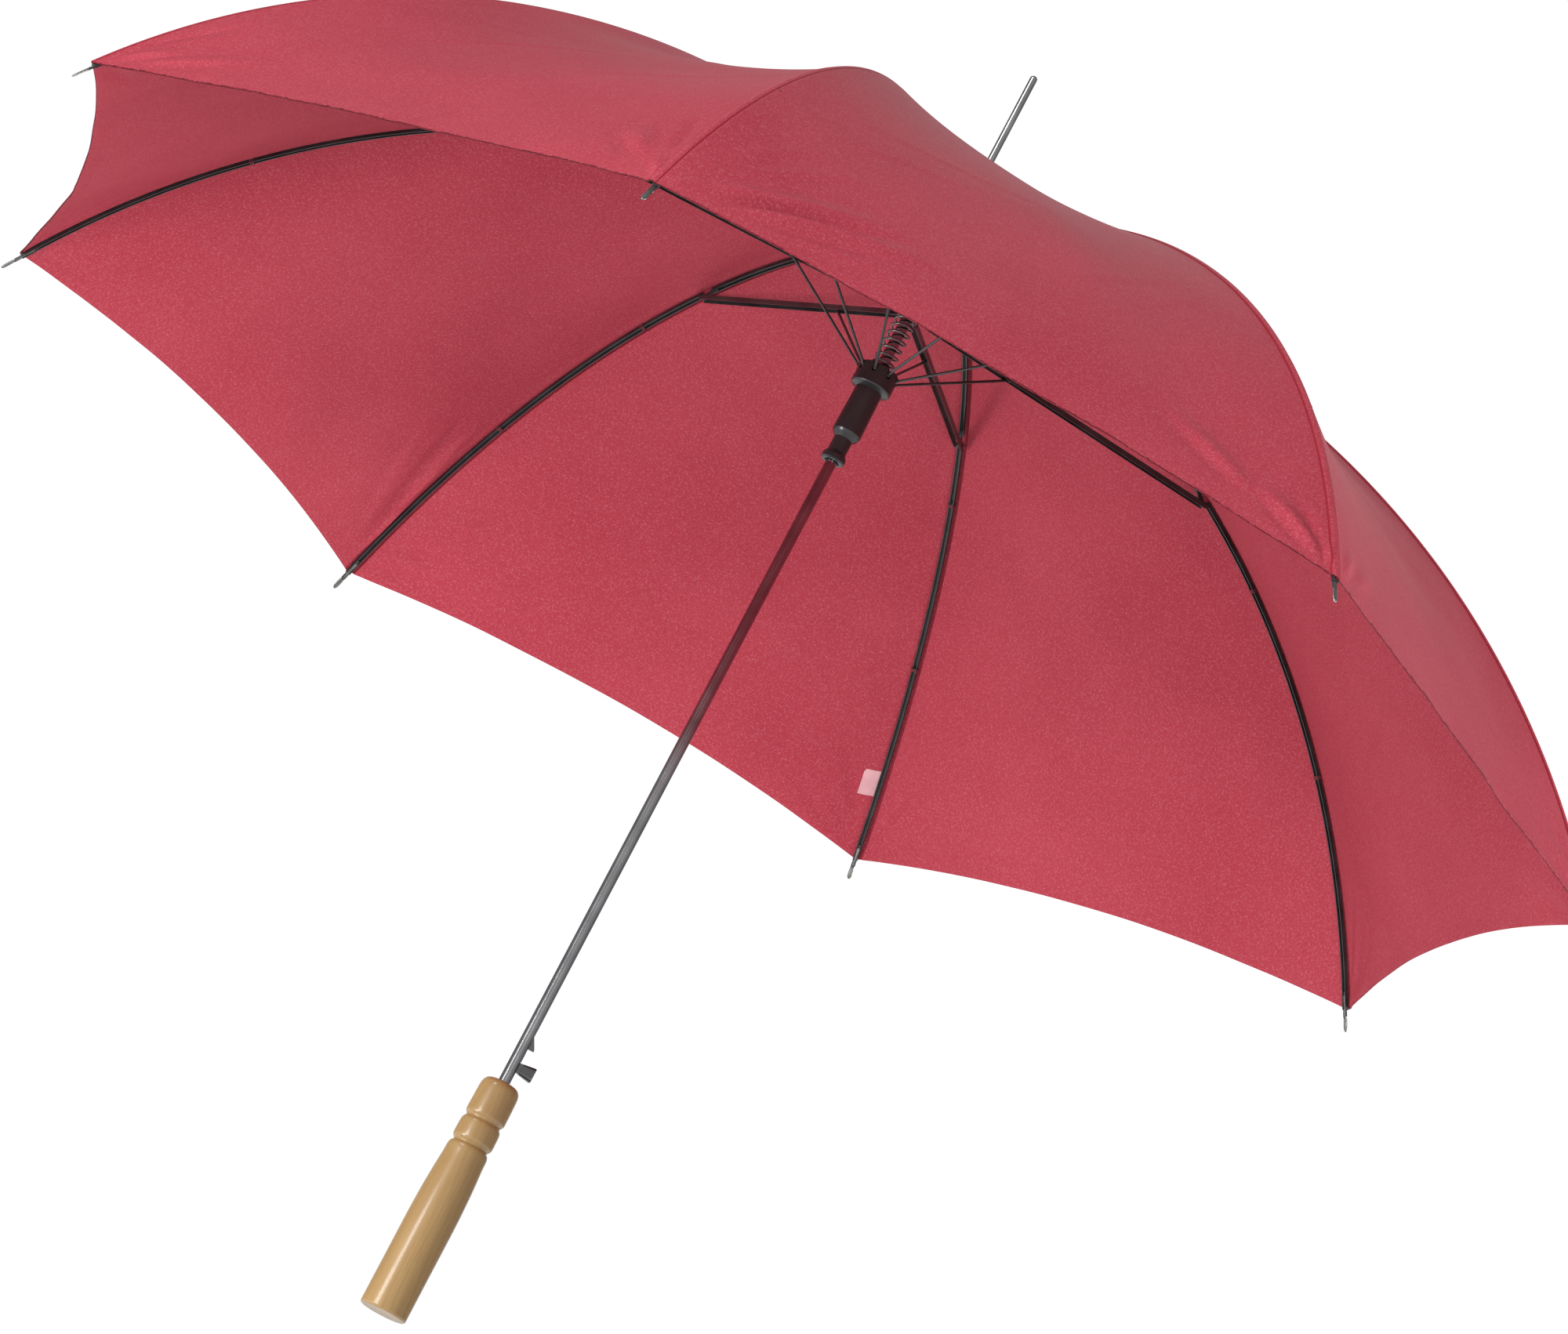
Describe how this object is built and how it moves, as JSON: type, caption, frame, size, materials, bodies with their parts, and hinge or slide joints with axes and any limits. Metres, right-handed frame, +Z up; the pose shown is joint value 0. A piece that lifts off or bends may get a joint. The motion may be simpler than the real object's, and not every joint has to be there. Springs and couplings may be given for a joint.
{
  "type": "stick umbrella",
  "caption": "Open stick umbrella: domed fabric canopy on hinged metal ribs, sprung runner on a thin shaft, push button, turned wooden handle.",
  "frame": {"origin": "centre of the flat lower end of the handle", "axes": "+Z up the shaft from the handle to the ferrule, +X from the shaft towards the push button"},
  "size_m": [0.9624, 0.9624, 0.8465],
  "materials": {
    "canopy_fabric": "matte woven polyester",
    "rib_steel": "black satin paint",
    "chrome_tube": "polished plating",
    "black_plastic": "semi gloss moulded",
    "spring_steel": "dark oiled",
    "handle_wood": "varnished"
  },
  "bodies": {
    "root": {"shaft": "chrome_tube", "handle": "handle_wood", "ferrule": "chrome_tube", "top_notch": "black_plastic", "notch_wire": "spring_steel", "top_cap": "canopy_fabric"},
    "crown": {"crown": "black_plastic", "crown_wire": "spring_steel"},
    "runner": {"runner": "black_plastic", "main_spring": "spring_steel"},
    "button": {"push_button": "black_plastic"},
    "catch": {"catch": "spring_steel"},
    "rib_inner_1": {"rib_inner_1": "rib_steel", "canopy_inner_1": "canopy_fabric"},
    "rib_outer_1": {"rib_outer_1": "rib_steel", "canopy_outer_1": "canopy_fabric"},
    "stretcher_1": {"stretcher_1": "rib_steel"},
    "link_1": {"link_1": "spring_steel"},
    "rib_inner_2": {"rib_inner_2": "rib_steel", "canopy_inner_2": "canopy_fabric"},
    "rib_outer_2": {"rib_outer_2": "rib_steel", "canopy_outer_2": "canopy_fabric"},
    "stretcher_2": {"stretcher_2": "rib_steel"},
    "link_2": {"link_2": "spring_steel"},
    "rib_inner_3": {"rib_inner_3": "rib_steel", "canopy_inner_3": "canopy_fabric"},
    "rib_outer_3": {"rib_outer_3": "rib_steel", "canopy_outer_3": "canopy_fabric"},
    "stretcher_3": {"stretcher_3": "rib_steel"},
    "link_3": {"link_3": "spring_steel"},
    "rib_inner_4": {"rib_inner_4": "rib_steel", "canopy_inner_4": "canopy_fabric"},
    "rib_outer_4": {"rib_outer_4": "rib_steel", "canopy_outer_4": "canopy_fabric"},
    "stretcher_4": {"stretcher_4": "rib_steel"},
    "link_4": {"link_4": "spring_steel"},
    "rib_inner_5": {"rib_inner_5": "rib_steel", "canopy_inner_5": "canopy_fabric"},
    "rib_outer_5": {"rib_outer_5": "rib_steel", "canopy_outer_5": "canopy_fabric"},
    "stretcher_5": {"stretcher_5": "rib_steel"},
    "link_5": {"link_5": "spring_steel"},
    "rib_inner_6": {"rib_inner_6": "rib_steel", "canopy_inner_6": "canopy_fabric"},
    "rib_outer_6": {"rib_outer_6": "rib_steel", "canopy_outer_6": "canopy_fabric"},
    "stretcher_6": {"stretcher_6": "rib_steel"},
    "link_6": {"link_6": "spring_steel"},
    "rib_inner_7": {"rib_inner_7": "rib_steel", "canopy_inner_7": "canopy_fabric"},
    "rib_outer_7": {"rib_outer_7": "rib_steel", "canopy_outer_7": "canopy_fabric"},
    "stretcher_7": {"stretcher_7": "rib_steel"},
    "link_7": {"link_7": "spring_steel"},
    "rib_inner_8": {"rib_inner_8": "rib_steel", "canopy_inner_8": "canopy_fabric"},
    "rib_outer_8": {"rib_outer_8": "rib_steel", "canopy_outer_8": "canopy_fabric"},
    "stretcher_8": {"stretcher_8": "rib_steel"},
    "link_8": {"link_8": "spring_steel"}
  },
  "joints": [
    {"name": "rib_1_fold", "type": "hinge", "parent": "root", "child": "rib_inner_1", "pos_m": [0.00693, 0.00287, 0.7195], "axis": [-0.3827, 0.9239, 0], "range_deg": [0, 79.66], "stiffness_Nm_per_rad": 7.7, "springref_deg": -1.56, "deforming": ["canopy_inner_1"]},
    {"name": "rib_1_flex", "type": "hinge", "parent": "rib_inner_1", "child": "rib_outer_1", "pos_m": [0.22912, 0.09491, 0.697], "axis": [-0.3827, 0.9239, 0], "range_deg": [-27.14, 0], "deforming": ["canopy_outer_1"]},
    {"name": "stretcher_1_fold", "type": "hinge", "parent": "rib_inner_1", "child": "stretcher_1", "pos_m": [0.22912, 0.09491, 0.697], "axis": [-0.3827, 0.9239, 0], "range_deg": [-159.31, 0]},
    {"name": "link_1_fold", "type": "hinge", "parent": "stretcher_1", "child": "link_1", "pos_m": [0.07692, 0.03186, 0.68068], "axis": [-0.3827, 0.9239, 0], "range_deg": [0, 27.57]},
    {"name": "rib_2_fold", "type": "hinge", "parent": "root", "child": "rib_inner_2", "pos_m": [0.00287, 0.00693, 0.7195], "axis": [-0.9239, 0.3827, 0], "range_deg": [0, 79.66], "stiffness_Nm_per_rad": 7.7, "springref_deg": -1.56, "deforming": ["canopy_inner_2"]},
    {"name": "rib_2_flex", "type": "hinge", "parent": "rib_inner_2", "child": "rib_outer_2", "pos_m": [0.09491, 0.22912, 0.697], "axis": [-0.9239, 0.3827, 0], "range_deg": [-27.14, 0], "deforming": ["canopy_outer_2"]},
    {"name": "stretcher_2_fold", "type": "hinge", "parent": "rib_inner_2", "child": "stretcher_2", "pos_m": [0.09491, 0.22912, 0.697], "axis": [-0.9239, 0.3827, 0], "range_deg": [-159.31, 0]},
    {"name": "link_2_fold", "type": "hinge", "parent": "stretcher_2", "child": "link_2", "pos_m": [0.03186, 0.07692, 0.68068], "axis": [-0.9239, 0.3827, 0], "range_deg": [0, 27.57]},
    {"name": "rib_3_fold", "type": "hinge", "parent": "root", "child": "rib_inner_3", "pos_m": [-0.00287, 0.00693, 0.7195], "axis": [-0.9239, -0.3827, 0], "range_deg": [0, 79.66], "stiffness_Nm_per_rad": 7.7, "springref_deg": -1.56, "deforming": ["canopy_inner_3"]},
    {"name": "rib_3_flex", "type": "hinge", "parent": "rib_inner_3", "child": "rib_outer_3", "pos_m": [-0.09491, 0.22912, 0.697], "axis": [-0.9239, -0.3827, 0], "range_deg": [-27.14, 0], "deforming": ["canopy_outer_3"]},
    {"name": "stretcher_3_fold", "type": "hinge", "parent": "rib_inner_3", "child": "stretcher_3", "pos_m": [-0.09491, 0.22912, 0.697], "axis": [-0.9239, -0.3827, 0], "range_deg": [-159.31, 0]},
    {"name": "link_3_fold", "type": "hinge", "parent": "stretcher_3", "child": "link_3", "pos_m": [-0.03186, 0.07692, 0.68068], "axis": [-0.9239, -0.3827, 0], "range_deg": [0, 27.57]},
    {"name": "rib_4_fold", "type": "hinge", "parent": "root", "child": "rib_inner_4", "pos_m": [-0.00693, 0.00287, 0.7195], "axis": [-0.3827, -0.9239, 0], "range_deg": [0, 79.66], "stiffness_Nm_per_rad": 7.7, "springref_deg": -1.56, "deforming": ["canopy_inner_4"]},
    {"name": "rib_4_flex", "type": "hinge", "parent": "rib_inner_4", "child": "rib_outer_4", "pos_m": [-0.22912, 0.09491, 0.697], "axis": [-0.3827, -0.9239, 0], "range_deg": [-27.14, 0], "deforming": ["canopy_outer_4"]},
    {"name": "stretcher_4_fold", "type": "hinge", "parent": "rib_inner_4", "child": "stretcher_4", "pos_m": [-0.22912, 0.09491, 0.697], "axis": [-0.3827, -0.9239, 0], "range_deg": [-159.31, 0]},
    {"name": "link_4_fold", "type": "hinge", "parent": "stretcher_4", "child": "link_4", "pos_m": [-0.07692, 0.03186, 0.68068], "axis": [-0.3827, -0.9239, 0], "range_deg": [0, 27.57]},
    {"name": "rib_5_fold", "type": "hinge", "parent": "root", "child": "rib_inner_5", "pos_m": [-0.00693, -0.00287, 0.7195], "axis": [0.3827, -0.9239, 0], "range_deg": [0, 79.66], "stiffness_Nm_per_rad": 7.7, "springref_deg": -1.56, "deforming": ["canopy_inner_5"]},
    {"name": "rib_5_flex", "type": "hinge", "parent": "rib_inner_5", "child": "rib_outer_5", "pos_m": [-0.22912, -0.09491, 0.697], "axis": [0.3827, -0.9239, 0], "range_deg": [-27.14, 0], "deforming": ["canopy_outer_5"]},
    {"name": "stretcher_5_fold", "type": "hinge", "parent": "rib_inner_5", "child": "stretcher_5", "pos_m": [-0.22912, -0.09491, 0.697], "axis": [0.3827, -0.9239, 0], "range_deg": [-159.31, 0]},
    {"name": "link_5_fold", "type": "hinge", "parent": "stretcher_5", "child": "link_5", "pos_m": [-0.07692, -0.03186, 0.68068], "axis": [0.3827, -0.9239, 0], "range_deg": [0, 27.57]},
    {"name": "rib_6_fold", "type": "hinge", "parent": "root", "child": "rib_inner_6", "pos_m": [-0.00287, -0.00693, 0.7195], "axis": [0.9239, -0.3827, 0], "range_deg": [0, 79.66], "stiffness_Nm_per_rad": 7.7, "springref_deg": -1.56, "deforming": ["canopy_inner_6"]},
    {"name": "rib_6_flex", "type": "hinge", "parent": "rib_inner_6", "child": "rib_outer_6", "pos_m": [-0.09491, -0.22912, 0.697], "axis": [0.9239, -0.3827, 0], "range_deg": [-27.14, 0], "deforming": ["canopy_outer_6"]},
    {"name": "stretcher_6_fold", "type": "hinge", "parent": "rib_inner_6", "child": "stretcher_6", "pos_m": [-0.09491, -0.22912, 0.697], "axis": [0.9239, -0.3827, 0], "range_deg": [-159.31, 0]},
    {"name": "link_6_fold", "type": "hinge", "parent": "stretcher_6", "child": "link_6", "pos_m": [-0.03186, -0.07692, 0.68068], "axis": [0.9239, -0.3827, 0], "range_deg": [0, 27.57]},
    {"name": "rib_7_fold", "type": "hinge", "parent": "root", "child": "rib_inner_7", "pos_m": [0.00287, -0.00693, 0.7195], "axis": [0.9239, 0.3827, 0], "range_deg": [0, 79.66], "stiffness_Nm_per_rad": 7.7, "springref_deg": -1.56, "deforming": ["canopy_inner_7"]},
    {"name": "rib_7_flex", "type": "hinge", "parent": "rib_inner_7", "child": "rib_outer_7", "pos_m": [0.09491, -0.22912, 0.697], "axis": [0.9239, 0.3827, 0], "range_deg": [-27.14, 0], "deforming": ["canopy_outer_7"]},
    {"name": "stretcher_7_fold", "type": "hinge", "parent": "rib_inner_7", "child": "stretcher_7", "pos_m": [0.09491, -0.22912, 0.697], "axis": [0.9239, 0.3827, 0], "range_deg": [-159.31, 0]},
    {"name": "link_7_fold", "type": "hinge", "parent": "stretcher_7", "child": "link_7", "pos_m": [0.03186, -0.07692, 0.68068], "axis": [0.9239, 0.3827, 0], "range_deg": [0, 27.57]},
    {"name": "rib_8_fold", "type": "hinge", "parent": "root", "child": "rib_inner_8", "pos_m": [0.00693, -0.00287, 0.7195], "axis": [0.3827, 0.9239, 0], "range_deg": [0, 79.66], "stiffness_Nm_per_rad": 7.7, "springref_deg": -1.56, "deforming": ["canopy_inner_8"]},
    {"name": "rib_8_flex", "type": "hinge", "parent": "rib_inner_8", "child": "rib_outer_8", "pos_m": [0.22912, -0.09491, 0.697], "axis": [0.3827, 0.9239, 0], "range_deg": [-27.14, 0], "deforming": ["canopy_outer_8"]},
    {"name": "stretcher_8_fold", "type": "hinge", "parent": "rib_inner_8", "child": "stretcher_8", "pos_m": [0.22912, -0.09491, 0.697], "axis": [0.3827, 0.9239, 0], "range_deg": [-159.31, 0]},
    {"name": "link_8_fold", "type": "hinge", "parent": "stretcher_8", "child": "link_8", "pos_m": [0.07692, -0.03186, 0.68068], "axis": [0.3827, 0.9239, 0], "range_deg": [0, 27.57]},
    {"name": "crown_upright", "type": "hinge", "parent": "stretcher_1", "child": "crown", "pos_m": [0.00693, 0.00287, 0.6745], "axis": [-0.3827, 0.9239, 0], "range_deg": [0, 79.66]},
    {"name": "runner_slide", "type": "slide", "parent": "crown", "child": "runner", "axis": [0, 0, 1], "range_m": [0, 0.03218], "stiffness_N_per_m": 1500, "springref_m": -0.053, "deforming": ["main_spring"]},
    {"name": "button_press", "type": "slide", "parent": "root", "child": "button", "axis": [-1, 0, 0], "range_m": [0, 0.00205], "stiffness_N_per_m": 600, "springref_m": -0.002},
    {"name": "catch_tilt", "type": "hinge", "parent": "root", "child": "catch", "pos_m": [0.0019, 0, 0.132], "axis": [0, 1, 0], "range_deg": [-4.81, 0]}
  ],
  "couplings": [
    {"joint": "rib_1_flex", "follows": "rib_1_fold", "ratio": -0.34072},
    {"joint": "stretcher_1_fold", "follows": "rib_1_fold", "ratio": -2},
    {"joint": "link_1_fold", "follows": "rib_1_fold", "ratio": 0.34613},
    {"joint": "rib_2_fold", "follows": "rib_1_fold", "ratio": 1},
    {"joint": "rib_2_flex", "follows": "rib_1_fold", "ratio": -0.34072},
    {"joint": "stretcher_2_fold", "follows": "rib_1_fold", "ratio": -2},
    {"joint": "link_2_fold", "follows": "rib_1_fold", "ratio": 0.34613},
    {"joint": "rib_3_fold", "follows": "rib_1_fold", "ratio": 1},
    {"joint": "rib_3_flex", "follows": "rib_1_fold", "ratio": -0.34072},
    {"joint": "stretcher_3_fold", "follows": "rib_1_fold", "ratio": -2},
    {"joint": "link_3_fold", "follows": "rib_1_fold", "ratio": 0.34613},
    {"joint": "rib_4_fold", "follows": "rib_1_fold", "ratio": 1},
    {"joint": "rib_4_flex", "follows": "rib_1_fold", "ratio": -0.34072},
    {"joint": "stretcher_4_fold", "follows": "rib_1_fold", "ratio": -2},
    {"joint": "link_4_fold", "follows": "rib_1_fold", "ratio": 0.34613},
    {"joint": "rib_5_fold", "follows": "rib_1_fold", "ratio": 1},
    {"joint": "rib_5_flex", "follows": "rib_1_fold", "ratio": -0.34072},
    {"joint": "stretcher_5_fold", "follows": "rib_1_fold", "ratio": -2},
    {"joint": "link_5_fold", "follows": "rib_1_fold", "ratio": 0.34613},
    {"joint": "rib_6_fold", "follows": "rib_1_fold", "ratio": 1},
    {"joint": "rib_6_flex", "follows": "rib_1_fold", "ratio": -0.34072},
    {"joint": "stretcher_6_fold", "follows": "rib_1_fold", "ratio": -2},
    {"joint": "link_6_fold", "follows": "rib_1_fold", "ratio": 0.34613},
    {"joint": "rib_7_fold", "follows": "rib_1_fold", "ratio": 1},
    {"joint": "rib_7_flex", "follows": "rib_1_fold", "ratio": -0.34072},
    {"joint": "stretcher_7_fold", "follows": "rib_1_fold", "ratio": -2},
    {"joint": "link_7_fold", "follows": "rib_1_fold", "ratio": 0.34613},
    {"joint": "rib_8_fold", "follows": "rib_1_fold", "ratio": 1},
    {"joint": "rib_8_flex", "follows": "rib_1_fold", "ratio": -0.34072},
    {"joint": "stretcher_8_fold", "follows": "rib_1_fold", "ratio": -2},
    {"joint": "link_8_fold", "follows": "rib_1_fold", "ratio": 0.34613},
    {"joint": "crown_upright", "follows": "rib_1_fold", "ratio": 1},
    {"joint": "runner_slide", "follows": "rib_1_fold", "m_per_rad": 0.023146},
    {"joint": "catch_tilt", "follows": "button_press", "rad_per_m": -40.866}
  ]
}
